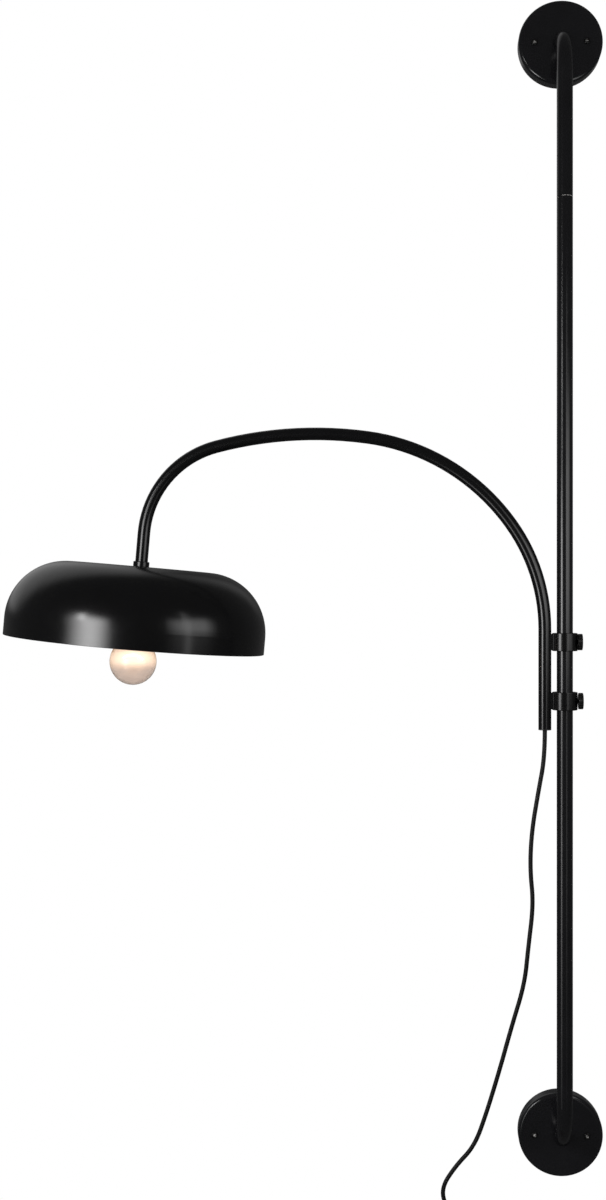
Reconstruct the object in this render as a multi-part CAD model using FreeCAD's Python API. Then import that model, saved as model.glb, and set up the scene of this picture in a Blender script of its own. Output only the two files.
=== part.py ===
"""Plug-in wall light: a tube pole between two canopies, with an arched arm that slides and swings on it.

Millimetres. The wall is the plane Y = 0 and the light stands in front of it, towards -Y. Z is up.
The origin is the middle of the upper wall bracket's back face.
"""

import FreeCAD, Part
import math
import os

V = FreeCAD.Vector
ORIGIN = V(0, 0, 0)
X = V(1, 0, 0)
Y = V(0, 1, 0)
Z = V(0, 0, 1)
FRONT = V(0, -1, 0)

# ---- Driving dimensions ----

# Pole and its elbows
canopy_pitch = 1407.4       # from the upper canopy's centre down to the lower one's
stand_off = 75.0            # wall to pole axis
pole_radius = 10.0
pole_wall = 1.5
elbow_radius = 55.0         # to the tube's axis
seam_drop = 215.0           # from the upper canopy's centre down to the joint in the pole
seam_chamfer = 0.5

# Canopies and what fixes them
canopy_radius = 54.0
canopy_depth = 20.0
canopy_wall = 1.6
canopy_edge = 5.0           # rounding of the front edge
screw_spacing = 66.7        # between the two canopy screws
wall_slot_spacing = 60.0
wall_slot_width = 5.0
wall_slot_length = 16.0

# Clamp collars
collar_radius = 15.7
collar_height = 22.4
upper_collar_drop = 771.1   # from the upper canopy's centre
collar_spacing = 73.7
bush_wall = 0.85
running_gap = 0.05          # radial, bush to pole and bush to collar
lower_screw_backed_off = 0.8

# Arm: a straight lower part, then arcs of (radius, turn in degrees) that lead up, over and down
arm_radius = 8.0
arm_wall = 1.2
arm_offset = 24.7           # pole axis to arm axis
arm_bottom_drop = 881.2
arm_straight_top_drop = 755.0
arm_bends = [(228.0, 35.2), (267.0, 46.6), (495.0, 22.5), (124.0, 70.8)]
arm_last_straight = 36.5
ring_radius = 10.25
ring_height = 7.0

# Shade
shade_radius = 166.0
shade_height = 99.0
shade_shoulder = 77.0
shade_wall = 1.2

# Socket and bulb: distances are measured down from the shade's top
socket_radius = 17.5
socket_rim = 60.0
key_depth = 27.0
bulb_contact = 40.0
bulb_tip = 151.2
bulb_radius = 30.0
bulb_neck_radius = 12.5
bulb_flare = 60.0           # radius of the hollow curve from the neck to the globe
glass_wall = 1.0

# Cord
cord_radius = 2.75
cord_route = [              # free cord from the arm's lower end to the coil
    (-24.7, -75.0, -881.2),
    (-24.7, -75.0, -915.0),
    (-32.8, -74.5, -959.0),
    (-41.0, -74.0, -1009.0),
    (-43.0, -73.0, -1056.0),
    (-38.5, -72.5, -1099.0),
    (-45.0, -72.0, -1154.0),
    (-49.5, -71.0, -1200.5),
    (-65.4, -70.5, -1253.5),
    (-80.2, -70.0, -1308.0),
    (-97.0, -69.0, -1364.5),
    (-112.0, -68.0, -1407.0),
    (-135.6, -67.0, -1433.0),
    (-153.6, -66.5, -1461.5),
    (-148.0, -66.0, -1485.5),
    (-133.5, -66.0, -1507.5),
    (-105.5, -66.0, -1516.5),
    (-85.5, -66.0, -1516.5),
]
coil_outer_radius = 37.0    # to the cord's axis, where the coil starts
coil_pitch = 6.2            # between turns and between layers
coil_quarters_per_layer = 9
coil_layers = 4
coil_extra_quarters = 1     # brings the cord's end round to point down
coil_lead = 5.5             # straight at each end of the coil
tail_length = 18.0

parts = {}


# ---- Ways of making a solid ----

def disc(at, axis, radius, length):
    """A round bar that starts at a point and runs along an axis."""
    return Part.makeCylinder(radius, length, at, axis)


def sleeve(at, axis, outer, inner, length):
    """A round bar with a bore right through."""
    return disc(at, axis, outer, length).cut(disc(at, axis, inner, length))


def rounded_edges(corners, radii, closed=True):
    """Straight runs through the corners, each corner rounded by a tangent arc of its own radius."""
    count = len(corners)
    entries = []
    exits = []
    arcs = []
    for i, (corner, radius) in enumerate(zip(corners, radii)):
        if radius == 0 or (not closed and i in (0, count - 1)):
            entries.append(corner)
            exits.append(corner)
            arcs.append(None)
            continue
        back = (corners[i - 1] - corner).normalize()
        ahead = (corners[(i + 1) % count] - corner).normalize()
        middle = (back + ahead).normalize()
        half = back.getAngle(ahead) / 2
        entries.append(corner + back * (radius / math.tan(half)))
        exits.append(corner + ahead * (radius / math.tan(half)))
        apex = corner + middle * (radius / math.sin(half) - radius)
        arcs.append(Part.Arc(entries[i], apex, exits[i]).toShape())
    edges = []
    for i in range(count):
        if arcs[i]:
            edges.append(arcs[i])
        if i == count - 1 and not closed:
            break
        start = exits[i]
        end = entries[(i + 1) % count]
        if start.distanceToPoint(end) > 0.001:
            edges.append(Part.LineSegment(start, end).toShape())
    return edges


def turned(outline, at=ORIGIN, axis=Z):
    """A turned solid. A corner is (radius, height), with a rounding as third value where it has one."""
    corners = [V(corner[0], 0, corner[1]) for corner in outline]
    radii = [corner[2] if len(corner) > 2 else 0 for corner in outline]
    face = Part.Face(Part.Wire(rounded_edges(corners, radii)))
    solid = face.revolve(ORIGIN, Z, 360)
    solid.Placement = FreeCAD.Placement(at, FreeCAD.Rotation(Z, axis))
    return solid


def plate(corners, radii, thickness):
    """A flat plate: an outline with rounded corners, and its thickness as a vector."""
    return Part.Face(Part.Wire(rounded_edges(corners, radii))).extrude(thickness)


def block(low, high):
    """A box between two corners."""
    return Part.makeBox(high[0] - low[0], high[1] - low[1], high[2] - low[2], V(*low))


def hexagon(at, axis, across_flats, length):
    """A hexagonal bar along an axis."""
    circle_radius = across_flats / math.sqrt(3)
    turns = [math.radians(60 * i) for i in range(6)]
    corners = [V(circle_radius * math.cos(t), circle_radius * math.sin(t), 0) for t in turns]
    bar = Part.Face(Part.makePolygon(corners + corners[:1])).extrude(V(0, 0, length))
    bar.Placement = FreeCAD.Placement(at, FreeCAD.Rotation(Z, axis))
    return bar


def swept(edges, radius):
    """A round solid along a chain of tangent edges."""
    first = edges[0]
    start = first.valueAt(first.FirstParameter)
    way = first.tangentAt(first.FirstParameter)
    circle = Part.Wire(Part.makeCircle(radius, start, way))
    return Part.Wire(edges).makePipeShell([circle], True, False)


def bent_tube(edges, radius, wall):
    """A tube along a chain of tangent edges."""
    return swept(edges, radius).cut(swept(edges, radius - wall))


def chain_length(edges):
    return sum(edge.Length for edge in edges)


def for_lower_end(solid):
    """The same piece at the lower canopy, turned upside down."""
    copy = solid.copy()
    copy.rotate(ORIGIN, Y, 180)
    copy.translate(V(0, 0, -canopy_pitch))
    return copy


def at_both_ends(name, solid):
    parts["upper_" + name] = solid
    parts["lower_" + name] = for_lower_end(solid)


# ---- Canopies, wall brackets and what holds the pole to them ----

front_inside = canopy_depth - canopy_wall
screw_places = [V(-screw_spacing / 2, 0, 0), V(screw_spacing / 2, 0, 0)]


def canopy():
    bolt_hole = 4.3
    screw_hole = 2.3
    cup = turned([
        (canopy_radius, 0),
        (canopy_radius, canopy_depth, canopy_edge),
        (bolt_hole, canopy_depth),
        (bolt_hole, front_inside),
        (canopy_radius - canopy_wall, front_inside, canopy_edge - canopy_wall),
        (canopy_radius - canopy_wall, 0),
    ], axis=FRONT)
    for place in screw_places:
        cup = cup.cut(disc(place, FRONT, screw_hole, 2 * canopy_depth))
    return cup


def wall_bracket():
    """Oblong plate on the wall, with a bent ear to each side that takes a canopy screw."""
    half_width = 20.0
    half_height = 44.0
    thickness = 2.0
    ear_reach = 42.0
    ear_rise = 11.0
    ear_half_height = 9.0
    bend_at = 26.0
    bend_inside = 0.5
    bend_outside = bend_inside + thickness
    corner_rounding = 12.0
    tapped_hole = 2.05
    corners = [V(-half_width, 0, -half_height), V(half_width, 0, -half_height),
               V(half_width, 0, half_height), V(-half_width, 0, half_height)]
    bracket = plate(corners, [corner_rounding] * 4, FRONT * thickness)
    ear_outline = [
        (half_width / 2, 0, 0),
        (bend_at, 0, bend_outside),
        (bend_at, thickness - ear_rise, bend_inside),
        (ear_reach, thickness - ear_rise, 0),
        (ear_reach, -ear_rise, 0),
        (bend_at - thickness, -ear_rise, bend_outside),
        (bend_at - thickness, -thickness, bend_inside),
        (half_width / 2, -thickness, 0),
    ]
    for side in (1, -1):
        ear_corners = [V(side * x, y, -ear_half_height) for x, y, rounding in ear_outline]
        ear = plate(ear_corners, [corner[2] for corner in ear_outline], Z * (2 * ear_half_height))
        ear = ear.cut(disc(V(side * screw_spacing / 2, 0, 0), FRONT, tapped_hole, 2 * ear_rise))
        bracket = bracket.fuse(ear)
    for side in (1, -1):
        middle = side * wall_slot_spacing / 2
        half_slot = wall_slot_length / 2
        half_slot_width = wall_slot_width / 2
        bottom, top = middle - half_slot, middle + half_slot
        slot_corners = [V(-half_slot_width, 1, bottom), V(half_slot_width, 1, bottom),
                        V(half_slot_width, 1, top), V(-half_slot_width, 1, top)]
        bracket = bracket.cut(plate(slot_corners, [half_slot_width - 0.001] * 4, FRONT * (2 + thickness)))
    return bracket.removeSplitter()


def canopy_screws():
    """Two pan head screws with a cross recess, from the canopy's front into the bracket's ears."""
    head_radius = 4.0
    head_height = 2.4
    shank_radius = 1.95
    shank_end = 8.5
    recess = (1.0, 4.4)
    recess_depth = 1.3
    head_top = canopy_depth + head_height
    screws = []
    for place in screw_places:
        screw = turned([
            (0, shank_end),
            (shank_radius, shank_end),
            (shank_radius, canopy_depth),
            (head_radius, canopy_depth),
            (head_radius, head_top, 1.4),
            (0, head_top),
        ], at=place, axis=FRONT)
        for wide, tall in (recess, recess[::-1]):
            low = (place.x - wide / 2, -head_top - 1, -tall / 2)
            high = (place.x + wide / 2, recess_depth - head_top, tall / 2)
            screw = screw.cut(block(low, high))
        screws.append(screw)
    return Part.makeCompound(screws)


bolt_radius = 3.95
bolt_hole_in_plug = 4.05
washer_thickness = 1.6
plug_length = 7.0
plug_radius = 8.0


def end_plug():
    return sleeve(V(0, -canopy_depth, 0), FRONT, plug_radius, bolt_hole_in_plug, plug_length)


def bolt_washer():
    return sleeve(V(0, washer_thickness - front_inside, 0), FRONT, 8.0, 4.2, washer_thickness)


def canopy_bolt():
    """Hexagon head bolt from inside the canopy into the pole's end plug."""
    head_height = 5.3
    under_head = front_inside - washer_thickness
    head = hexagon(V(0, head_height - under_head, 0), FRONT, 13.0, head_height)
    shank = disc(V(0, -under_head, 0), FRONT, bolt_radius, canopy_depth + plug_length + 2 - under_head)
    return head.fuse(shank).removeSplitter()


at_both_ends("canopy", canopy())
at_both_ends("wall_bracket", wall_bracket())
at_both_ends("canopy_screws", canopy_screws())
at_both_ends("end_plug", end_plug())
at_both_ends("bolt_washer", bolt_washer())
at_both_ends("canopy_bolt", canopy_bolt())


# ---- Pole: two bent tubes that meet at the seam over a joiner sleeve ----

def pole_tube(seam_height):
    """A quarter-turn elbow from the canopy at the origin, then straight down to the seam's height."""
    centre = V(0, -canopy_depth, -elbow_radius)
    elbow = Part.Arc(
        centre + Z * elbow_radius,
        centre + (FRONT + Z).normalize() * elbow_radius,
        centre + FRONT * elbow_radius,
    ).toShape()
    run = Part.LineSegment(V(0, -stand_off, -elbow_radius), V(0, -stand_off, seam_height)).toShape()
    tube = bent_tube([elbow, run], pole_radius, pole_wall)
    rim = [edge for edge in tube.Edges
           if abs(edge.BoundBox.ZMin - seam_height) < 0.01 and abs(edge.BoundBox.ZMax - seam_height) < 0.01
           and edge.Length > 2 * math.pi * (pole_radius - 0.1)]
    return tube.makeChamfer(seam_chamfer, rim)


parts["upper_pole"] = pole_tube(-seam_drop)
parts["lower_pole"] = for_lower_end(pole_tube(seam_drop - canopy_pitch))

joiner_half = 40.0
joiner_bore = 6.5
joiner_radius = pole_radius - pole_wall - 0.1
joiner_foot = V(0, -stand_off, -seam_drop - joiner_half)
parts["pole_joiner"] = sleeve(joiner_foot, Z, joiner_radius, joiner_bore, 2 * joiner_half)


# ---- Collars, bushes and thumb screws ----

collar_bore = pole_radius + 2 * running_gap + bush_wall
bush_half_height = 9.7
lip_bore = 10.5
screw_hole_radius = 2.5


def collar():
    """Turned ring whose end lips keep the bush in, with a saddle that is brazed to the arm tube."""
    half = collar_height / 2
    groove = bush_half_height + 0.1
    rounding = 0.8
    saddle_reach = 6.2      # how far round the arm tube the saddle comes, in from the arm's axis
    saddle_half_width = 5.0
    saddle_inset = 1.0
    saddle_root = 2.2
    body = turned([
        (lip_bore, -half),
        (collar_radius, -half, rounding),
        (collar_radius, half, rounding),
        (lip_bore, half),
        (lip_bore, groove),
        (collar_bore, groove),
        (collar_bore, -groove),
        (lip_bore, -groove),
    ])
    saddle = block((saddle_reach - arm_offset, -saddle_half_width, saddle_inset - half),
                   (saddle_root - collar_radius, saddle_half_width, half - saddle_inset))
    body = body.fuse(saddle.cut(disc(V(-arm_offset, 0, -half), Z, arm_radius, collar_height)))
    return body.cut(disc(ORIGIN, X, screw_hole_radius, 2 * collar_radius))


def bush():
    """Plastic liner, split at the wall side so that a screw can squeeze it on to the pole."""
    half_slit = 0.75
    beside_bore = pole_radius / 2
    liner = sleeve(V(0, 0, -bush_half_height), Z, collar_bore - running_gap, pole_radius + running_gap,
                   2 * bush_half_height)
    slit_low = (-half_slit, beside_bore, -collar_height)
    slit_high = (half_slit, collar_radius, collar_height)
    return liner.cut(block(slit_low, slit_high))


pad_face = 11.05            # where the tight pad meets the bush, from the pole axis
pad_end = 12.2
pad_radius = 2.4
pad_bore = 1.3
pad_bore_floor = 11.4
seat_gap = 0.05


def pressure_pad():
    return turned([
        (0, pad_face),
        (pad_radius, pad_face),
        (pad_radius, pad_end),
        (pad_bore, pad_end),
        (pad_bore, pad_bore_floor),
        (0, pad_bore_floor),
    ], axis=X)


def thumb_screw():
    """Knurled head and threaded shank, with a spigot on its tip that keeps the pad on."""
    spigot_radius = 1.2
    shank_radius = 2.42
    head_radius = 10.25
    head_start = collar_radius + 0.2
    head_end = 21.7
    rounding = 0.7
    dish_radius = 6.4
    dish_depth = 0.6
    notches = 20
    notch_radius = 0.9
    screw = turned([
        (0, pad_bore_floor + seat_gap),
        (spigot_radius, pad_bore_floor + seat_gap),
        (spigot_radius, pad_end + seat_gap),
        (shank_radius, pad_end + seat_gap),
        (shank_radius, head_start),
        (head_radius, head_start, rounding),
        (head_radius, head_end, rounding),
        (dish_radius, head_end),
        (dish_radius - dish_depth, head_end - dish_depth),
        (0, head_end - dish_depth),
    ], axis=X)
    cutters = []
    for i in range(notches):
        turn = math.radians(360 * i / notches)
        way = V(0, math.cos(turn), math.sin(turn))
        notch_at = way * (head_radius + 0.5) + X * head_start
        cutters.append(disc(notch_at, X, notch_radius, head_end - head_start))
    return screw.cut(Part.makeCompound(cutters))


def on_pole(solid, drop, along=0.0):
    """A copy that is moved from the origin to the pole axis, a given drop below the upper canopy."""
    copy = solid.copy()
    copy.translate(V(along, -stand_off, -drop))
    return copy


for end, drop, backed_off in (("upper", upper_collar_drop, 0.0),
                              ("lower", upper_collar_drop + collar_spacing, lower_screw_backed_off)):
    parts[end + "_collar"] = on_pole(collar(), drop)
    parts[end + "_bush"] = on_pole(bush(), drop)
    parts[end + "_pressure_pad"] = on_pole(pressure_pad(), drop, backed_off)
    parts[end + "_thumb_screw"] = on_pole(thumb_screw(), drop, backed_off)


# ---- Arm tube and the cord inside it ----

bushing_flange = 1.2


def spoke(heading):
    """From an arc's centre to its point where the arm, turning left from straight up, has this heading."""
    return V(math.cos(heading), 0, math.sin(heading))


def arm_edges(bottom_drop, extra_end):
    """The arm's axis from its lower end, over the arcs, to its shade end and some way past it."""
    at = V(-arm_offset, -stand_off, -arm_straight_top_drop)
    edges = [Part.LineSegment(V(-arm_offset, -stand_off, -bottom_drop), at).toShape()]
    heading = 0.0
    for radius, turn in arm_bends:
        turn = math.radians(turn)
        centre = at - spoke(heading) * radius
        middle = centre + spoke(heading + turn / 2) * radius
        end = centre + spoke(heading + turn) * radius
        edges.append(Part.Arc(at, middle, end).toShape())
        at = end
        heading += turn
    way = V(-math.sin(heading), 0, math.cos(heading))
    end = at + way * arm_last_straight
    edges.append(Part.LineSegment(at, end + way * extra_end).toShape())
    return edges, end, way


edges, arm_end, arm_way = arm_edges(arm_bottom_drop - bushing_flange, 0.0)
parts["arm_tube"] = bent_tube(edges, arm_radius, arm_wall)

parts["tube_bushing"] = turned([
    (cord_radius + 0.1, 0),
    (arm_radius, 0, 0.5),
    (arm_radius, bushing_flange),
    (arm_radius - arm_wall - 0.1, bushing_flange),
    (arm_radius - arm_wall - 0.1, 11),
    (cord_radius + 0.1, 11),
], at=V(-arm_offset, -stand_off, -arm_bottom_drop))

block_top = 19.0
edges, end, way = arm_edges(arm_bottom_drop, ring_height + block_top)
parts["arm_cord"] = swept(edges, cord_radius)


# ---- Lamp head, modelled upright with the shade's top at the origin, then tilted on to the arm's end ----

arm_tilt = 180 - sum(turn for radius, turn in arm_bends)
shade_top = arm_end + arm_way * ring_height
head_placement = FreeCAD.Placement(shade_top, FreeCAD.Rotation(Y, arm_tilt))


def head_part(name, solid):
    solid.Placement = head_placement.multiply(solid.Placement)
    parts[name] = solid


nipple_radius = 4.95
nipple_hole = 5.1
tapped_bore = 5.0
nut_height = 3.0

head_part("arm_end_insert", sleeve(V(0, 0, ring_height), Z, arm_radius - arm_wall - 0.1, tapped_bore, 10))
head_part("lock_ring", turned([
    (nipple_hole, 0),
    (ring_radius, 0, 1.0),
    (ring_radius, ring_height, 1.0),
    (nipple_hole, ring_height),
]))
head_part("shade_nipple", sleeve(V(0, 0, -9.5), Z, nipple_radius, 3.4, 25.5))
head_part("shade", turned([
    (nipple_hole, 0),
    (shade_radius, 0, shade_shoulder),
    (shade_radius, -shade_height, 0.5),
    (shade_radius - shade_wall, -shade_height, 0.5),
    (shade_radius - shade_wall, -shade_wall, shade_shoulder - shade_wall),
    (nipple_hole, -shade_wall),
]))
lock_nut = hexagon(V(0, 0, -shade_wall - nut_height), Z, 15.0, nut_height)
head_part("lock_nut", lock_nut.cut(disc(V(0, 0, -10), Z, tapped_bore, 20)))

cap_top = shade_wall + nut_height
cap_radius = socket_radius + 1.1
head_part("socket_cap", turned([
    (nipple_hole, -cap_top),
    (12, -cap_top, 2),
    (cap_radius, -cap_top - 7, 3),
    (cap_radius, -cap_top - 15),
    (cap_radius - 1, -cap_top - 15),
    (cap_radius - 1, -cap_top - 7.4, 2),
    (11.6, -cap_top - 1, 1.5),
    (nipple_hole, -cap_top - 1),
]))
socket_wall = 1.2
socket_shell = turned([
    (socket_radius, -14),
    (socket_radius, -socket_rim, 1),
    (14.9, -socket_rim),
    (14.9, -socket_rim + socket_wall),
    (socket_radius - socket_wall, -socket_rim + socket_wall),
    (socket_radius - socket_wall, -14),
])
key_hole = disc(V(0, 0, -key_depth), FRONT, 2.6, 30)
liner_foot = socket_wall - socket_rim
liner_top = -14.5
block_foot = -36.0
shell_foot = -57.0
head_part("socket_shell", socket_shell.cut(key_hole))
socket_liner = sleeve(V(0, 0, liner_foot), Z, 16.2, 15.2, liner_top - liner_foot)
head_part("socket_liner", socket_liner.cut(key_hole))
switch_block = disc(V(0, 0, block_foot), Z, 15.1, -block_top - block_foot)
head_part("switch_block", switch_block.cut(disc(V(0, -8, -key_depth), FRONT, 2.1, 20)))
head_part("screw_shell", sleeve(V(0, 0, shell_foot), Z, 13.9, 13.3, block_foot - shell_foot))
head_part("centre_contact", turned([
    (0, block_foot),
    (3.5, block_foot),
    (3.5, -37.5, 0.5),
    (1.8, 0.1 - bulb_contact, 0.6),
    (0, 0.1 - bulb_contact),
]))

key_stem = disc(V(0, -8.5, -key_depth), FRONT, 2.0, 20)
key_grip = plate([V(-7, -27, -key_depth - 4.5), V(7, -27, -key_depth - 4.5),
                  V(7, -27, -key_depth + 4.5), V(-7, -27, -key_depth + 4.5)], [4.4] * 4, FRONT * 11)
grip_waists = [disc(V(0, -40, side * 11.0 - key_depth), Y, 7.5, 12) for side in (1, -1)]
head_part("switch_key", key_stem.fuse(key_grip.cut(Part.makeCompound(grip_waists))).removeSplitter())


# ---- Bulb ----

def bulb_outline(inset):
    """From the neck's end, down the hollow flare and round the globe to the tip, and the tip's point."""
    globe_radius = bulb_radius - inset
    flare = bulb_flare + inset
    neck = bulb_neck_radius - inset
    globe_centre = V(0, 0, bulb_radius - bulb_tip)
    rise = math.sqrt((globe_radius + flare) ** 2 - (neck + flare) ** 2)
    flare_centre = V(neck + flare, 0, globe_centre.z + rise)
    meet = globe_centre + (flare_centre - globe_centre).normalize() * globe_radius
    flare_middle = flare_centre - (V(flare, 0, 0) + (flare_centre - meet)).normalize() * flare
    globe_middle = globe_centre + X * globe_radius
    neck_top = V(neck, 0, -58)
    neck_end = V(neck, 0, flare_centre.z)
    tip = globe_centre - Z * globe_radius
    edges = [
        Part.LineSegment(neck_top, neck_end).toShape(),
        Part.Arc(neck_end, flare_middle, meet).toShape(),
        Part.Arc(meet, globe_middle, tip).toShape(),
    ]
    return edges, neck_top, tip


def bulb_glass():
    outer, outer_neck, outer_tip = bulb_outline(0)
    inner, inner_neck, inner_tip = bulb_outline(glass_wall)
    at_tip = Part.LineSegment(outer_tip, inner_tip).toShape()
    at_neck = Part.LineSegment(inner_neck, outer_neck).toShape()
    wire = Part.Wire(Part.__sortEdges__(outer + inner + [at_tip, at_neck]))
    return Part.Face(wire).revolve(ORIGIN, Z, 360)


filament_half = 13.0
filament_depth = 118.0
lead_top = 88.0


def bulb_stem():
    """Glass stem with the two lead wires that hold the filament."""
    stem = turned([(0, -60), (11.3, -60), (4, -70, 3), (3.5, -96), (0, -98)])
    for side in (1, -1):
        start = V(side * 2.5, 0, -lead_top)
        way = V(side * filament_half, 0, -filament_depth) - start
        stem = stem.fuse(disc(start, way, 0.4, way.Length))
    return stem


def bulb_filament():
    ends = [V(side * filament_half, 0, -filament_depth) for side in (1, -1)]
    crown = V(0, 0, 5 - filament_depth)
    return swept([Part.Arc(ends[0], crown, ends[1]).toShape()], 0.8)


head_part("bulb_glass", bulb_glass())
head_part("bulb_cap", turned([
    (10.4, -43),
    (13.1, -45.5, 1),
    (13.1, -64),
    (12.6, -64),
    (12.6, -45.7, 0.6),
    (10.2, -43.4),
]))
head_part("bulb_tip_contact", turned([
    (0, -bulb_contact),
    (4.5, -bulb_contact, 0.8),
    (5.5, -41.5),
    (10.1, -43),
    (10.1, -44),
    (0, -44),
]))
head_part("bulb_stem", bulb_stem())
head_part("bulb_filament", bulb_filament())


# ---- Cord, coil, tie and plug ----

def cord_edges(points):
    """The cord's axis: each corner of its route is rounded as widely as its two runs allow."""
    corners = [V(*point) for point in points]
    radii = [0.0] * len(corners)
    for i in range(1, len(corners) - 1):
        back = corners[i - 1] - corners[i]
        ahead = corners[i + 1] - corners[i]
        half_turn = (math.pi - back.getAngle(ahead)) / 2
        radii[i] = 0.45 * min(back.Length, ahead.Length) / math.tan(half_turn)
    print("cord bend radii, mm:", [round(radius, 1) for radius in radii[1:-1]])
    return rounded_edges(corners, radii, closed=False)


def report_tube(name, solid, edges):
    ideal = math.pi * cord_radius ** 2 * chain_length(edges)
    print(name, "length", round(chain_length(edges), 1), "mm, volume over section x length",
          round(solid.Volume / ideal, 4))


edges = cord_edges(cord_route)
parts["cord"] = swept(edges, cord_radius)
report_tube("cord", parts["cord"], edges)

coil_start = V(*cord_route[-1]) + X * coil_lead
coil_centre = coil_start - Z * coil_outer_radius
coil_quarters = coil_quarters_per_layer * coil_layers + coil_extra_quarters
QUARTER = math.pi / 2


def coil_point(quarters):
    """Axis point and way on after so many quarter turns: the cord spirals in and out, a layer each time."""
    layer = min(int(quarters // coil_quarters_per_layer), coil_layers - 1)
    inward = 1 if layer % 2 == 0 else -1
    within = quarters - layer * coil_quarters_per_layer
    spiralled = within if inward == 1 else coil_quarters_per_layer - within
    radius = coil_outer_radius - coil_pitch * spiralled / 4
    nearest = round(quarters / coil_quarters_per_layer)
    from_turning = quarters - nearest * coil_quarters_per_layer
    depth = layer * coil_pitch
    climb_rate = 0.0
    turning = 1 <= nearest <= coil_layers - 1 and abs(from_turning) < 1
    if turning:
        depth = (nearest - 1) * coil_pitch + coil_pitch * (1 + math.sin(from_turning * QUARTER)) / 2
        climb_rate = coil_pitch / 2 * math.cos(from_turning * QUARTER)
    radial_rate = -inward * coil_pitch / (4 * QUARTER)
    if turning and from_turning == 0:
        radial_rate = 0.0
    angle = quarters * QUARTER
    outwards = V(math.sin(angle), 0, math.cos(angle))
    onwards = V(math.cos(angle), 0, -math.sin(angle))
    point = coil_centre + outwards * radius + FRONT * depth
    way = onwards * radius + outwards * radial_rate + FRONT * climb_rate
    return point, way.normalize()


def biarc(start, start_way, end, end_way):
    """Two arcs, tangent to each other, that leave one point and reach another in given directions."""
    gap = end - start
    ways = start_way + end_way
    bend = 2 * (1 - start_way.dot(end_way))
    reach = (math.sqrt(gap.dot(ways) ** 2 + bend * gap.dot(gap)) - gap.dot(ways)) / bend
    first_pole = start + start_way * reach
    second_pole = end - end_way * reach
    middle = (first_pole + second_pole) * 0.5
    arcs = []
    for begin, pole, finish in ((start, first_pole, middle), (middle, second_pole, end)):
        cosine = math.cos((pole - begin).getAngle(finish - pole) / 2)
        chord_middle = (begin + finish) * 0.5
        apex = chord_middle + (pole - chord_middle) * (cosine / (1 + cosine))
        arcs.append(Part.Arc(begin, apex, finish).toShape())
    return arcs


def coil_edges():
    edges = [Part.LineSegment(coil_start - X * coil_lead, coil_start).toShape()]
    at = coil_start
    way = X
    for quarter in range(1, coil_quarters + 1):
        end, end_way = coil_point(quarter)
        if quarter == coil_quarters:
            end_way = Z * -1
        edges += biarc(at, way, end, end_way)
        at = end
        way = end_way
    edges.append(Part.LineSegment(at, at + way * coil_lead).toShape())
    return edges, at + way * coil_lead


def least_self_gap(edges, radius):
    """The least clear gap between stretches of the tube that lie a quarter turn or more apart along it."""
    step = 2.0
    points = []
    for edge in edges:
        points += edge.discretize(max(2, int(edge.Length / step)))[:-1]
    apart = int(QUARTER * 2 * coil_outer_radius / step)
    least = min(points[i].distanceToPoint(points[j])
                for i in range(len(points)) for j in range(i + apart, len(points)))
    return least - 2 * radius


edges, coil_end = coil_edges()
parts["cord_coil"] = swept(edges, cord_radius)
report_tube("coil", parts["cord_coil"], edges)
print("least gap between the coil's turns, mm:", round(least_self_gap(edges, cord_radius), 2))

tail_end = coil_end - Z * tail_length
parts["cord_tail"] = disc(coil_end, Z * -1, cord_radius, tail_length)


def cord_tie():
    """Soft strap round the bundle, just past where the cord joins the coil."""
    tie_turn = math.radians(40)
    half_width = 5.0
    thickness = 1.4
    inner_radius = coil_outer_radius - coil_pitch * coil_quarters_per_layer / 4 - cord_radius
    outer_radius = coil_outer_radius + cord_radius + 1.0
    near = coil_start.y + cord_radius
    far = coil_start.y - coil_pitch * (coil_layers - 1) - cord_radius
    def loop(grown):
        left, right = inner_radius - grown, outer_radius + grown
        front, back = far - grown, near + grown
        corners = [V(left, back, 0), V(right, back, 0), V(right, front, 0), V(left, front, 0)]
        return plate(corners, [cord_radius + grown] * 4, Z * (2 * half_width))

    band = loop(thickness).cut(loop(0))
    band.translate(Z * -half_width)
    band.rotate(ORIGIN, Y, -math.degrees(QUARTER - tie_turn))
    band.translate(V(coil_centre.x, 0, coil_centre.z))
    return band


parts["cord_tie"] = cord_tie()

relief_length = 24.0
plug_body_length = 30.0
relief_top = tail_end.z
body_top = relief_top - relief_length


def plug_relief():
    """Tapered sleeve with five ribs."""
    ribs = 5
    pitch = relief_length / ribs
    outline = [(0, 0), (3.4, 0, 0.5)]
    for i in range(ribs):
        radius = 3.6 + 0.45 * i
        top = -pitch * i
        outline += [(radius, top - 1.2), (radius + 0.5, top - 2.2), (radius + 0.5, top - pitch + 1)]
    outline += [(5.6, -relief_length), (0, -relief_length)]
    return turned(outline, at=tail_end)


def plug_section(drop, width, depth, rounding):
    x, y, z = tail_end.x, tail_end.y, body_top - drop
    corners = [V(x - width / 2, y - depth / 2, z), V(x + width / 2, y - depth / 2, z),
               V(x + width / 2, y + depth / 2, z), V(x - width / 2, y + depth / 2, z)]
    return Part.Wire(rounded_edges(corners, [rounding] * 4))


parts["plug_relief"] = plug_relief()
parts["plug_body"] = Part.makeLoft([
    plug_section(0, 13, 11.6, 4.5),
    plug_section(6, 18, 14, 4.5),
    plug_section(18, 25, 15.5, 4.5),
    plug_section(plug_body_length, 26, 16, 4.0),
], True, True)

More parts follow.
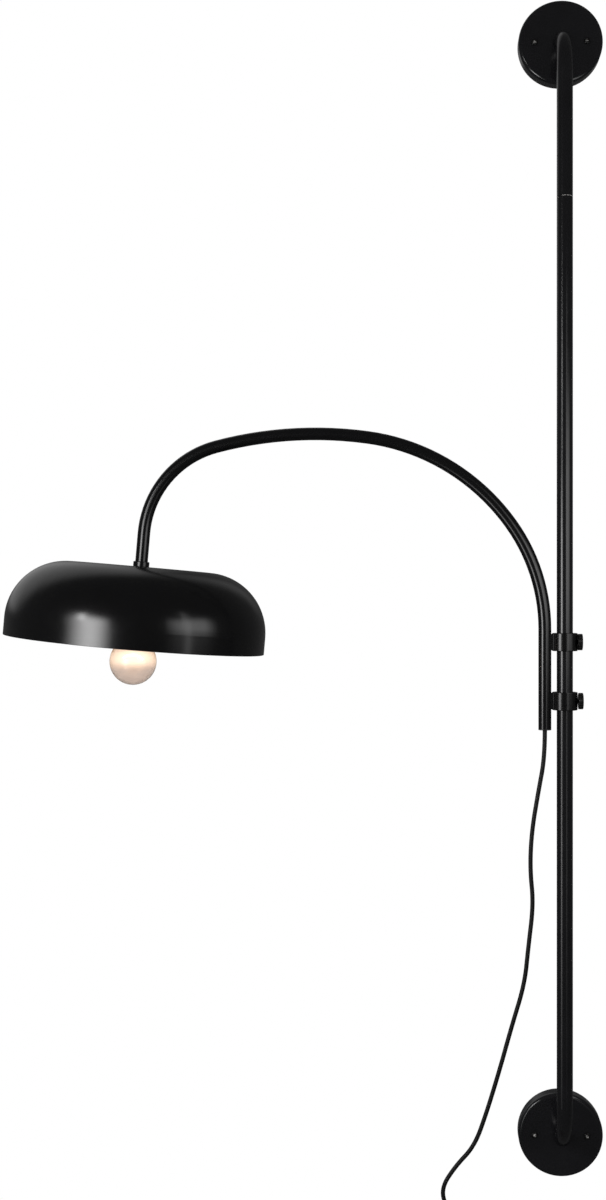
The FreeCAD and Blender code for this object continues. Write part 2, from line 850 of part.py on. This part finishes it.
blade_spacing = 12.7
blade_length = 17.0
blade_thickness = 1.5
blades = []
for side, width in ((1, 6.35), (-1, 7.9)):
    x = tail_end.x + side * blade_spacing / 2
    low = (x - blade_thickness / 2, tail_end.y - width / 2, body_top - plug_body_length - blade_length)
    high = (x + blade_thickness / 2, tail_end.y + width / 2, body_top - plug_body_length)
    blade = block(low, high)
    tip = [edge for edge in blade.Edges if edge.BoundBox.ZMax < low[2] + 0.01 and edge.BoundBox.YLength > 1]
    blades.append(blade.makeChamfer(0.4, tip))
parts["plug_blades"] = Part.makeCompound(blades)


# ---- Write one file for each node ----

os.makedirs("parts", exist_ok=True)
for name, shape in parts.items():
    shape.exportStep("parts/" + name + ".step")
print(len(parts), "nodes; all valid:", all(shape.isValid() for shape in parts.values()))
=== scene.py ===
"""Looks of the plug-in wall light with a sliding, swinging arm. Metres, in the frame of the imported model."""

import bmesh
import bpy
import math
from mathutils import Matrix, Vector


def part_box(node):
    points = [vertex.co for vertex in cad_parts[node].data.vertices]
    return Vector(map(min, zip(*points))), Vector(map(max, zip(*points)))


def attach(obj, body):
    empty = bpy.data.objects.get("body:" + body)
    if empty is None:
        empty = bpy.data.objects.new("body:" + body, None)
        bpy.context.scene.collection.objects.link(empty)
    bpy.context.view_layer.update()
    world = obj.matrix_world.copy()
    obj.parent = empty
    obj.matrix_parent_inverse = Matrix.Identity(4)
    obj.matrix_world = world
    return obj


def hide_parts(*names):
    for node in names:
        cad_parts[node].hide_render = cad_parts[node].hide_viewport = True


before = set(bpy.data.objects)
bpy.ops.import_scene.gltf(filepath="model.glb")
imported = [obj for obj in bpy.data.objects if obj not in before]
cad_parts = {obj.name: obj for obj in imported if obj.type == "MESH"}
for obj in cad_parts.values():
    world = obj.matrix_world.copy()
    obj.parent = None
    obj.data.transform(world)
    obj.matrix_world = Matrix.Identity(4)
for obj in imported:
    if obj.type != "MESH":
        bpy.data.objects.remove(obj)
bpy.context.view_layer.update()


# ---- Camera ----
# The lamp is seen from the room, nearly two metres from the wall and level with the middle of the pole.
# The lens takes in the whole height of the lamp, and only the cord's end leaves the picture.

focal_length_px = 1478.7
picture_height_px = 1200
sensor_long_side_mm = 36
camera_place = (-0.1756, -1.943, -0.7186)
camera_level = math.radians(90)
camera_heading = math.radians(4.67)

camera_data = bpy.data.cameras.new("camera")
camera_data.sensor_width = sensor_long_side_mm
camera_data.lens = sensor_long_side_mm * focal_length_px / picture_height_px
camera = bpy.data.objects.new("camera", camera_data)
camera.location = camera_place
camera.rotation_euler = (camera_level, 0, camera_heading)
bpy.context.scene.collection.objects.link(camera)
bpy.context.scene.camera = camera


# ---- Mains cord ----
# A round two-core lead in a smooth black jacket. It hangs from the arm's lower end in lazy bends, and the
# length that isn't needed is wound in four layers and tied, with the plug hanging below.

cord_diameter = 0.0055
cord_exit = (-0.0247, -0.0750, -0.8812)
hanging_route = [
    cord_exit,
    (-0.0247, -0.0750, -0.9150),
    (-0.0328, -0.0745, -0.9590),
    (-0.0410, -0.0740, -1.0090),
    (-0.0430, -0.0730, -1.0560),
    (-0.0385, -0.0725, -1.0990),
    (-0.0450, -0.0720, -1.1540),
    (-0.0495, -0.0710, -1.2005),
    (-0.0654, -0.0705, -1.2535),
    (-0.0802, -0.0700, -1.3080),
    (-0.0970, -0.0690, -1.3645),
    (-0.1120, -0.0680, -1.4070),
    (-0.1356, -0.0670, -1.4330),
    (-0.1536, -0.0665, -1.4615),
    (-0.1480, -0.0660, -1.4855),
    (-0.1335, -0.0660, -1.5075),
    (-0.1055, -0.0660, -1.5165),
    (-0.0855, -0.0660, -1.5165),
]
coil_centre = Vector((-0.0800, -0.0660, -1.5535))
coil_radius = 0.0370
coil_pitch = 0.0062
quarters_per_layer = 9
coil_layers = 4
coil_quarters = quarters_per_layer * coil_layers + 1
points_per_quarter = 4
tail_end = Vector((-0.04145, -0.0846, -1.5770))
heights_above_tail_end = (0.0235, 0.0150, 0.0)

# A control point stands this much further out than the line that it draws round a circle.
point_standoff = 1 / math.cos(math.pi / (4 * points_per_quarter))


def coil_line(quarters):
    """Where the coil's line is after so many quarter turns. It spirals in and out, a layer each time."""
    layer = min(int(quarters // quarters_per_layer), coil_layers - 1)
    within = quarters - layer * quarters_per_layer
    inwards = within if layer % 2 == 0 else quarters_per_layer - within
    radius = coil_radius - coil_pitch * inwards / 4
    depth = layer * coil_pitch
    nearest_turning = round(quarters / quarters_per_layer)
    from_turning = quarters - nearest_turning * quarters_per_layer
    if 1 <= nearest_turning <= coil_layers - 1 and abs(from_turning) < 1:
        climbed = (1 + math.sin(from_turning * math.pi / 2)) / 2
        depth = (nearest_turning - 1 + climbed) * coil_pitch
    angle = quarters * math.pi / 2
    reach = radius * point_standoff
    return coil_centre + Vector((reach * math.sin(angle), -depth, reach * math.cos(angle)))


def mains_cord():
    points = [Vector(point) for point in hanging_route]
    for i in range(coil_quarters * points_per_quarter):
        points.append(coil_line(i / points_per_quarter))
    for height in heights_above_tail_end:
        points.append(tail_end + Vector((0, 0, height)))
    curve = bpy.data.curves.new("mains_cord", "CURVE")
    curve.dimensions = "3D"
    line = curve.splines.new("NURBS")
    line.points.add(len(points) - 1)
    for point, place in zip(line.points, points):
        point.co = (*place, 1)
    line.order_u = 3
    line.use_endpoint_u = True
    line.resolution_u = 8
    curve.bevel_depth = cord_diameter / 2
    curve.bevel_resolution = 5
    curve.use_fill_caps = True
    cord = bpy.data.objects.new("mains_cord", curve)
    bpy.context.scene.collection.objects.link(cord)
    return cord


def add_node(tree, kind, inputs=None, operation=None, interpolation=None):
    """A new shader node. Inputs gives its sockets their values, or the outputs that they are linked from."""
    node = tree.nodes.new(kind)
    if operation:
        node.operation = operation
    if interpolation:
        node.interpolation_type = interpolation
    for socket, value in (inputs or {}).items():
        if isinstance(value, bpy.types.NodeSocket):
            tree.links.new(value, node.inputs[socket])
        else:
            node.inputs[socket].default_value = value
    return node


def object_place(tree):
    return add_node(tree, "ShaderNodeTexCoord").outputs["Object"]


def mottle(tree, scale, detail=2.0, stretch=(1, 1, 1)):
    """Noise on Object coordinates. A scale of 1000 gives grains of about a millimetre."""
    mapping = add_node(tree, "ShaderNodeMapping", {"Vector": object_place(tree), "Scale": stretch})
    noise = {"Vector": mapping.outputs["Vector"], "Scale": scale, "Detail": detail}
    return add_node(tree, "ShaderNodeTexNoise", noise).outputs["Fac"]


def remap(tree, value, from_min=0.0, from_max=1.0, to_min=0.0, to_max=1.0, interpolation="LINEAR"):
    ends = {"Value": value, "From Min": from_min, "From Max": from_max, "To Min": to_min, "To Max": to_max}
    return add_node(tree, "ShaderNodeMapRange", ends, interpolation=interpolation).outputs["Result"]


def blend_colours(tree, fac, first, last, start=0.0, end=1.0):
    """A colour that goes from the first at the start to the last at the end."""
    ramp = add_node(tree, "ShaderNodeValToRGB", {"Fac": fac})
    stops = ramp.color_ramp.elements
    stops[0].position = start
    stops[0].color = (*first, 1)
    stops[1].position = end
    stops[1].color = (*last, 1)
    return ramp.outputs["Color"]


def plain_finish(name, metallic=0.0, ior=1.5):
    """A material with only its shader, for the three helpers below to vary."""
    material = bpy.data.materials.new(name)
    material.use_nodes = True
    tree = material.node_tree
    shader = tree.nodes["Principled BSDF"]
    shader.inputs["Metallic"].default_value = metallic
    shader.inputs["IOR"].default_value = ior
    return material, tree, shader


def vary_colour(tree, shader, dark, light, **grain):
    colour = blend_colours(tree, mottle(tree, **grain), dark, light, start=0.3, end=0.7)
    tree.links.new(colour, shader.inputs["Base Color"])


def vary_roughness(tree, shader, low, high, **grain):
    roughness = remap(tree, mottle(tree, **grain), to_min=low, to_max=high)
    tree.links.new(roughness, shader.inputs["Roughness"])


def raise_grain(tree, shader, height, strength, **grain):
    relief = {"Height": mottle(tree, **grain), "Distance": height, "Strength": strength}
    bump = add_node(tree, "ShaderNodeBump", relief)
    tree.links.new(bump.outputs["Normal"], shader.inputs["Normal"])


def cord_jacket():
    material, tree, shader = plain_finish("cord_jacket")
    shader.inputs["Specular IOR Level"].default_value = 0.3
    vary_colour(tree, shader, dark=(0.003, 0.003, 0.003), light=(0.005, 0.005, 0.005), scale=60)
    vary_roughness(tree, shader, low=0.45, high=0.6, scale=400)
    raise_grain(tree, shader, height=0.00003, strength=0.6, scale=1800, detail=3)
    return material


def dress(names, material):
    for name in names:
        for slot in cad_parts[name].material_slots:
            slot.material = material


jacket = cord_jacket()
cord = mains_cord()
cord.data.materials.append(jacket)
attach(cord, "arm")
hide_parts("cord", "cord_coil", "cord_tail")
dress(["arm_cord"], jacket)


# ---- Cord tie and plug ----
# A soft strap goes round the bundle. The plug and its ribbed sleeve are moulded on to the lead in one
# go from black vinyl, and its two flat blades are nickel-plated brass.


def moulded_vinyl(name, roughness, dark):
    material, tree, shader = plain_finish(name)
    light = tuple(1.6 * part for part in dark)
    vary_colour(tree, shader, dark, light, scale=90)
    vary_roughness(tree, shader, low=roughness - 0.06, high=roughness + 0.08, scale=500)
    raise_grain(tree, shader, height=0.00002, strength=0.5, scale=2600)
    return material


def plated(name, light, roughness):
    """Bright metal with the fine scratches of handling along it, and a little of the haze of use."""
    material, tree, shader = plain_finish(name, metallic=0.75)
    dark = tuple(0.85 * part for part in light)
    vary_colour(tree, shader, dark, light, scale=300, detail=4)
    vary_roughness(tree, shader, low=roughness - 0.05, high=roughness + 0.1,
                   scale=900, detail=4, stretch=(1, 1, 0.1))
    raise_grain(tree, shader, height=0.00001, strength=0.4, scale=2500, stretch=(1, 1, 0.05))
    return material


dress(["plug_body", "plug_relief"], moulded_vinyl("plug_vinyl", roughness=0.42, dark=(0.008, 0.008, 0.008)))
dress(["cord_tie"], moulded_vinyl("tie_rubber", roughness=0.62, dark=(0.012, 0.012, 0.013)))
dress(["plug_blades"], plated("blade_nickel", light=(0.72, 0.70, 0.66), roughness=0.28))


# ---- Canopies and poles ----
# Pressed steel cups and bent steel tube, powder coated satin black. The coat flows out almost smooth, with
# a faint orange peel. At the pole's seam small patches of bright bare steel show, partly chips in the coat
# and partly painted glints.

seam_height = -0.215


def powder_coat(name, roughness, black):
    material, tree, shader = plain_finish(name)
    dark = (black, black, 1.15 * black)
    light = tuple(1.4 * part for part in dark)
    vary_colour(tree, shader, dark, light, scale=25)
    vary_roughness(tree, shader, low=roughness - 0.02, high=roughness + 0.02, scale=120)
    raise_grain(tree, shader, height=0.00001, strength=0.3, scale=220, detail=0)
    return material


def vector_math(tree, operation, vector, operand=None):
    node = add_node(tree, "ShaderNodeVectorMath", {0: vector}, operation=operation)
    if operand is not None:
        node.inputs[1].default_value = operand
    return node.outputs["Value" if operation in ("LENGTH", "DOT_PRODUCT") else "Vector"]


def mix_shaders(tree, fac, first, second):
    """Puts a blend of two shaders on the material: the first where fac is 0, the second where it is 1."""
    mix = add_node(tree, "ShaderNodeMixShader", {"Fac": fac, 1: first, 2: second})
    tree.links.new(mix.outputs["Shader"], tree.nodes["Material Output"].inputs["Surface"])


def bare_wear_and_glints(material, middle, axes, start, end, scale, aside=(0, 0, 0), fold=False):
    """Bright bare steel shows through a finish in patches, partly wear and partly painted glints. It does so
    fully up to the start and no more from the end, which are distances from the middle, measured along the
    axes that are 1. With a fold the places are two, this far aside to both sides of the middle."""
    tree = material.node_tree
    finish = tree.nodes["Principled BSDF"].outputs["BSDF"]
    vector = vector_math(tree, "SUBTRACT", object_place(tree), middle)
    if fold:
        vector = vector_math(tree, "ABSOLUTE", vector)
    vector = vector_math(tree, "SUBTRACT", vector, aside)
    vector = vector_math(tree, "MULTIPLY", vector, axes)
    patches = remap(tree, mottle(tree, scale, detail=0), from_min=0.44, from_max=0.54)
    glints_and_wear = remap(tree, vector_math(tree, "LENGTH", vector), from_min=end, from_max=start, to_max=patches)
    # Painted glints: the bare steel is pale and only half metallic, so its patches show bright under any
    # light.
    bare_glinting_steel = add_node(tree, "ShaderNodeBsdfPrincipled", {"Metallic": 0.5, "Roughness": 0.5})
    vary_colour(tree, bare_glinting_steel, dark=(0.55, 0.54, 0.53), light=(0.95, 0.93, 0.90), scale=900)
    mix_shaders(tree, glints_and_wear, finish, bare_glinting_steel.outputs["BSDF"])


# Painted light and shade: each part's copy of the black coat gets its own black, lighter on the pole and
# canopies, darker on the arm, collars and shade.
pole_coat = powder_coat("pole_powder_coat", roughness=0.19, black=0.0038)
# Painted glints along the seam: pale bare-steel patches, partly chips in the coat.
bare_wear_and_glints(pole_coat, middle=(0, 0, seam_height), axes=(0, 0, 1), start=0.0001, end=0.00035, scale=250)
dress(["upper_pole", "lower_pole"], pole_coat)
# Painted light: the canopies' copy of the coat has the lightest black.
dress(["upper_canopy", "lower_canopy"], powder_coat("canopy_powder_coat", roughness=0.15, black=0.0050))


# ---- Fixings at the wall ----
# Two black pan head screws hold each canopy to the ears of its bracket. Their cross recesses have bright
# patches of bare metal, partly rubbed by a driver and partly painted glints. Bracket, bolt, washer, end
# plug and joiner are zinc plated and out of sight.

both_ends = ("upper", "lower")
screw_head_diameter = 0.008


def zinc_plate():
    material, tree, shader = plain_finish("zinc_plate", metallic=0.75)
    vary_colour(tree, shader, dark=(0.42, 0.43, 0.45), light=(0.62, 0.63, 0.66), scale=180, detail=5)
    vary_roughness(tree, shader, low=0.28, high=0.5, scale=350, detail=4)
    raise_grain(tree, shader, height=0.00001, strength=0.5, scale=1500, detail=3)
    return material


def black_oxide(name):
    material, tree, shader = plain_finish(name)
    vary_colour(tree, shader, dark=(0.001, 0.001, 0.001), light=(0.002, 0.0019, 0.0017), scale=400)
    vary_roughness(tree, shader, low=0.22, high=0.32, scale=600)
    raise_grain(tree, shader, height=0.00001, strength=0.3, scale=1500, detail=1)
    return material


def oxide_worn_and_glinting(end):
    """The finish of the two screws at one end of the pole, with bright bare patches in the recesses: partly
    wear, partly painted glints.
    """
    material = black_oxide(end + "_oxide_worn_and_glinting")
    low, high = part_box(end + "_canopy_screws")
    half_spacing = (high.x - low.x - screw_head_diameter) / 2
    # Painted glints in both cross recesses, as pale bare-metal patches.
    bare_wear_and_glints(material, middle=(low + high) / 2, axes=(1, 0, 1), start=0.0015, end=0.0021, scale=700,
              aside=(half_spacing, 0, 0), fold=True)
    return material


zinc = zinc_plate()
for end in both_ends:
    dress([end + "_canopy_screws"], oxide_worn_and_glinting(end))
    for fixing in ("wall_bracket", "end_plug", "bolt_washer", "canopy_bolt"):
        dress([end + "_" + fixing], zinc)
dress(["pole_joiner"], zinc)


# ---- Clamps ----
# Each collar is turned from steel bar and coated with the arm. A white nylon bush lines it, and a black
# thumb screw with a brass tip pad squeezes the bush on to the pole.


def natural_nylon():
    material, tree, shader = plain_finish("natural_nylon")
    shader.inputs["Subsurface Weight"].default_value = 0.2
    shader.inputs["Subsurface Radius"].default_value = (0.002, 0.002, 0.0015)
    vary_colour(tree, shader, dark=(0.68, 0.67, 0.61), light=(0.76, 0.75, 0.70), scale=120)
    vary_roughness(tree, shader, low=0.4, high=0.52, scale=500)
    raise_grain(tree, shader, height=0.00001, strength=0.4, scale=1500)
    return material


turned_brass = plated("turned_brass", light=(0.70, 0.50, 0.22), roughness=0.3)
# Painted shade: the collars' copy of the coat is darker than the arm's, though they are coated together.
collar_coat = powder_coat("collar_powder_coat", roughness=0.22, black=0.0008)
dress([end + "_collar" for end in both_ends], collar_coat)
dress([end + "_bush" for end in both_ends], natural_nylon())
dress([end + "_pressure_pad" for end in both_ends], turned_brass)
dress([end + "_thumb_screw" for end in both_ends], black_oxide("black_oxide"))


# ---- Arm ----
# Steel tube bent in four arcs on a machine, brazed to both collars and coated in one piece. A black
# bushing in its lower end keeps the cord off the tube's edge.

# Painted shade: the arm's copy of the coat is darker than the pole's.
dress(["arm_tube"], powder_coat("arm_powder_coat", roughness=0.19, black=0.0015))
dress(["tube_bushing"], moulded_vinyl("bushing_plastic", roughness=0.4, dark=(0.008, 0.008, 0.008)))
dress(["arm_end_insert"], turned_brass)


# ---- Shade ----
# One aluminium disc spun over a former: flat top, a wide round shoulder and a short straight wall. It is
# coated inside and out in the same satin black as the tubes, with its black set darker than theirs as
# painted shade.

# Painted shade: the shade's copy of the coat is darker than the tubes'.
dress(["shade"], powder_coat("shade_powder_coat", roughness=0.19, black=0.0009))
dress(["lock_ring"], powder_coat("ring_powder_coat", roughness=0.2, black=0.0020))
dress(["shade_nipple", "lock_nut"], zinc)


# ---- Lamp socket ----
# A metal shell socket: black cap and shell, a fibre liner, a moulded switch block with brass contacts,
# and a key of black plastic that turns the lamp on and off.


def fibre_board():
    material, tree, shader = plain_finish("fibre_board")
    vary_colour(tree, shader, dark=(0.16, 0.10, 0.055), light=(0.28, 0.19, 0.11), scale=500, detail=6)
    vary_roughness(tree, shader, low=0.7, high=0.9, scale=700, detail=4)
    raise_grain(tree, shader, height=0.00006, strength=0.7, scale=1800, detail=5)
    return material


dress(["socket_cap", "socket_shell"], powder_coat("socket_enamel", roughness=0.3, black=0.0020))
dress(["socket_liner"], fibre_board())
dress(["switch_block", "switch_key"],
      moulded_vinyl("socket_plastic", roughness=0.3, dark=(0.009, 0.009, 0.009)))
dress(["screw_shell", "centre_contact"], turned_brass)


# ---- Bulb ----
# A clear, faintly pearled household bulb on a rolled aluminium screw cap. The filament glows warm white
# and lights the pearled glass round it.

filament_low, filament_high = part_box("bulb_filament")
filament_centre = (filament_low + filament_high) / 2
glow_reach = (0.040, 0.040, 0.012)
bulb_light_radius = 0.02


def number_math(tree, operation, first, second):
    return add_node(tree, "ShaderNodeMath", {0: first, 1: second}, operation=operation).outputs["Value"]


def where_it_glows(tree):
    """How far a point is from the filament, where 1 is the edge of a flat, wide cloud of light round it."""
    centred = vector_math(tree, "SUBTRACT", object_place(tree), filament_centre)
    return vector_math(tree, "LENGTH", vector_math(tree, "DIVIDE", centred, glow_reach))


def pearled_glass():
    """Lit in a soft band round the filament, and less towards its outline. It throws no shadow, so that the
    filament's light gets out."""
    material, tree, shader = plain_finish("pearled_glass", ior=1.3)
    shader.inputs["Transmission Weight"].default_value = 1.0
    vary_colour(tree, shader, dark=(0.72, 0.64, 0.59), light=(0.77, 0.69, 0.64), scale=80)
    vary_roughness(tree, shader, low=0.16, high=0.26, scale=600)
    raise_grain(tree, shader, height=0.00002, strength=0.4, scale=1200)
    band = remap(tree, where_it_glows(tree), from_min=0.6, from_max=1.6, to_min=0.30, to_max=0.02,
                 interpolation="SMOOTHSTEP")
    outline = add_node(tree, "ShaderNodeLayerWeight", {"Blend": 0.5}).outputs["Facing"]
    strength = number_math(tree, "MULTIPLY", band, remap(tree, outline, to_min=1.0, to_max=0.0))
    warmth = blend_colours(tree, strength, first=(1.0, 0.60, 0.34), last=(1.0, 0.88, 0.66), end=0.3)
    tree.links.new(strength, shader.inputs["Emission Strength"])
    tree.links.new(warmth, shader.inputs["Emission Color"])
    ray = add_node(tree, "ShaderNodeLightPath")
    passing = number_math(tree, "MAXIMUM", ray.outputs["Is Shadow Ray"], ray.outputs["Is Diffuse Ray"])
    clear = add_node(tree, "ShaderNodeBsdfTransparent")
    mix_shaders(tree, passing, shader.outputs["BSDF"], clear.outputs["BSDF"])
    return material


def glowing_wire():
    material, tree, shader = plain_finish("glowing_wire")
    glow = blend_colours(tree, mottle(tree, scale=300), first=(1.0, 0.62, 0.30), last=(1.0, 0.80, 0.52))
    tree.links.new(glow, shader.inputs["Emission Color"])
    shader.inputs["Emission Strength"].default_value = 8
    return material


dress(["bulb_glass", "bulb_stem"], pearled_glass())
dress(["bulb_filament"], glowing_wire())
dress(["bulb_cap"], plated("bulb_aluminium", light=(0.78, 0.78, 0.79), roughness=0.3))
dress(["bulb_tip_contact"], moulded_vinyl("tip_glass", roughness=0.2, dark=(0.01, 0.008, 0.012)))

bulb_light = bpy.data.lights.new("bulb_light", "POINT")
bulb_light.energy = 0.10
bulb_light.color = (1.0, 0.72, 0.42)
bulb_light.shadow_soft_size = bulb_light_radius
bulb_lamp = bpy.data.objects.new("bulb_light", bulb_light)
bulb_lamp.location = filament_centre
bulb_lamp.visible_camera = False
bulb_lamp.visible_transmission = False
bpy.context.scene.collection.objects.link(bulb_lamp)


# ---- Room and light ----
# A white room with no detail. Three soft boxes to the left of the lamp and two to the right draw the long
# lines on its tubes and the glow on the shade. The floor lies where it would under a lamp on a wall.

floor_height = -2.30
floor_half_width = 6.0
floor_middle = (-0.25, -0.1, 0)
paint_fades_from = 0.7
white_from = 1.7
floor_in_coats = 0.06
room_in_coats = 0.07
patch_in_coats = 0.48
room_light = 0.85


def fade_in(tree, place, start, end, least=0.0):
    """From least, where the place is at the start, to 1 at the end."""
    return remap(tree, place, from_min=start, from_max=end, to_min=least, interpolation="SMOOTHSTEP")


def soft_box(name, place, aim, width, height, radiance, sides, foot, head):
    """A soft box whose cloth is bright in the middle. Sides, foot and head are the parts of its width and
    height over which it fades."""
    light = bpy.data.lights.new(name, "AREA")
    light.shape = "RECTANGLE"
    light.size = width
    light.size_y = height
    light.energy = radiance * math.pi * width * height
    light.use_nodes = True
    tree = light.node_tree
    cloth = add_node(tree, "ShaderNodeNewGeometry").outputs["Parametric"]
    on_cloth = add_node(tree, "ShaderNodeSeparateXYZ", {"Vector": cloth}).outputs
    from_side = number_math(tree, "PINGPONG", on_cloth["X"], 0.5)
    across = fade_in(tree, from_side, start=0, end=sides)
    upwards = fade_in(tree, on_cloth["Y"], start=0, end=foot)
    downwards = fade_in(tree, on_cloth["Y"], start=1, end=1 - head)
    glow = number_math(tree, "MULTIPLY", number_math(tree, "MULTIPLY", across, upwards), downwards)
    tree.links.new(glow, tree.nodes["Emission"].inputs["Strength"])
    box = bpy.data.objects.new(name, light)
    box.location = place
    box.rotation_mode = "QUATERNION"
    box.rotation_quaternion = (Vector(aim) - Vector(place)).to_track_quat("-Z", "Y")
    box.visible_camera = False
    bpy.context.scene.collection.objects.link(box)


soft_box("left_key_box", place=(-0.874, -0.824, -0.70), aim=(-0.274, -0.174, -0.70),
         width=0.65, height=0.54, radiance=11.0, sides=0.5, foot=0.25, head=0.35)
soft_box("left_low_box", place=(-0.91, -0.81, -1.36), aim=(-0.30, -0.15, -1.36),
         width=0.36, height=1.00, radiance=4.6, sides=0.3, foot=0.8, head=0.1)
soft_box("left_high_box", place=(-1.77, -1.84, -0.13), aim=(0.0, -0.08, -0.50),
         width=0.42, height=0.52, radiance=11.0, sides=0.4, foot=0.4, head=0.05)
soft_box("right_wide_box", place=(0.371, -0.659, -0.61), aim=(-0.279, -0.289, -0.69),
         width=0.95, height=0.62, radiance=2.2, sides=0.30, foot=0.42, head=0.36)
soft_box("right_strip_box", place=(0.24, -0.66, -0.93), aim=(0.0, -0.08, -0.93),
         width=0.14, height=1.50, radiance=1.3, sides=0.3, foot=0.6, head=0.05)


def seen_straight(tree, ray):
    """1 for what the camera sees, by itself or through glass."""
    return number_math(tree, "MAXIMUM", ray.outputs["Is Camera Ray"], ray.outputs["Is Transmission Ray"])


def white_room():
    """White where it is seen straight. The coats mirror a dim room with a pale patch behind the lamp, to its
    left and right and above it, stronger on the left."""
    world = bpy.data.worlds.new("white_room")
    world.use_nodes = True
    tree = world.node_tree
    way = add_node(tree, "ShaderNodeTexCoord").outputs["Generated"]
    either_side = vector_math(tree, "ABSOLUTE", way)
    backwards = vector_math(tree, "DOT_PRODUCT", way, (-0.4, 1, 0.5))
    sideways = vector_math(tree, "DOT_PRODUCT", either_side, (1, 0, 0.5))
    upwards = vector_math(tree, "DOT_PRODUCT", way, (0, 0, 1))
    rightwards = vector_math(tree, "DOT_PRODUCT", way, (1, 0, 0))
    behind = fade_in(tree, backwards, start=0.75, end=1.05)
    beside = fade_in(tree, sideways, start=0.25, end=0.5)
    above = fade_in(tree, upwards, start=0.06, end=0.18)
    left_more = fade_in(tree, rightwards, start=0.1, end=-0.1, least=0.4)
    patch = number_math(tree, "MULTIPLY", number_math(tree, "MULTIPLY", behind, beside),
                        number_math(tree, "MULTIPLY", above, left_more))
    mirrored = remap(tree, patch, to_min=room_in_coats, to_max=patch_in_coats)
    ray = add_node(tree, "ShaderNodeLightPath")
    unseen = add_node(tree, "ShaderNodeMix",
                      {"Factor": ray.outputs["Is Glossy Ray"], "A": room_light, "B": mirrored})
    strength = number_math(tree, "MAXIMUM", seen_straight(tree, ray), unseen.outputs["Result"])
    background = tree.nodes["Background"]
    background.inputs["Color"].default_value = (1, 1, 1, 1)
    tree.links.new(strength, background.inputs["Strength"])
    return world


bpy.context.scene.world = white_room()
bpy.context.scene.view_settings.view_transform = "Standard"


def pale_floor():
    """Pale and matt below the lamp, and as white as the room further out. In the coats it is dim all over."""
    bm = bmesh.new()
    bmesh.ops.create_grid(bm, x_segments=1, y_segments=1, size=floor_half_width,
                          matrix=Matrix.Translation((0, 0, floor_height)))
    mesh = bpy.data.meshes.new("floor")
    bm.to_mesh(mesh)
    bm.free()
    floor = bpy.data.objects.new("floor", mesh)
    bpy.context.scene.collection.objects.link(floor)
    material, tree, shader = plain_finish("floor_paint")
    shader.inputs["Roughness"].default_value = 0.9
    shader.inputs["Base Color"].default_value = (0.86, 0.86, 0.85, 1)
    centred = vector_math(tree, "SUBTRACT", object_place(tree), floor_middle)
    flat = vector_math(tree, "MULTIPLY", centred, (1, 1, 0))
    further_out = fade_in(tree, vector_math(tree, "LENGTH", flat), start=paint_fades_from, end=white_from)
    ray = add_node(tree, "ShaderNodeLightPath")
    brightness = remap(tree, seen_straight(tree, ray), to_min=floor_in_coats)
    white = add_node(tree, "ShaderNodeEmission", {"Strength": brightness})
    unpainted = number_math(tree, "MAXIMUM", further_out, ray.outputs["Is Glossy Ray"])
    mix_shaders(tree, unpainted, shader.outputs["BSDF"], white.outputs["Emission"])
    floor.data.materials.append(material)
    return floor


pale_floor()
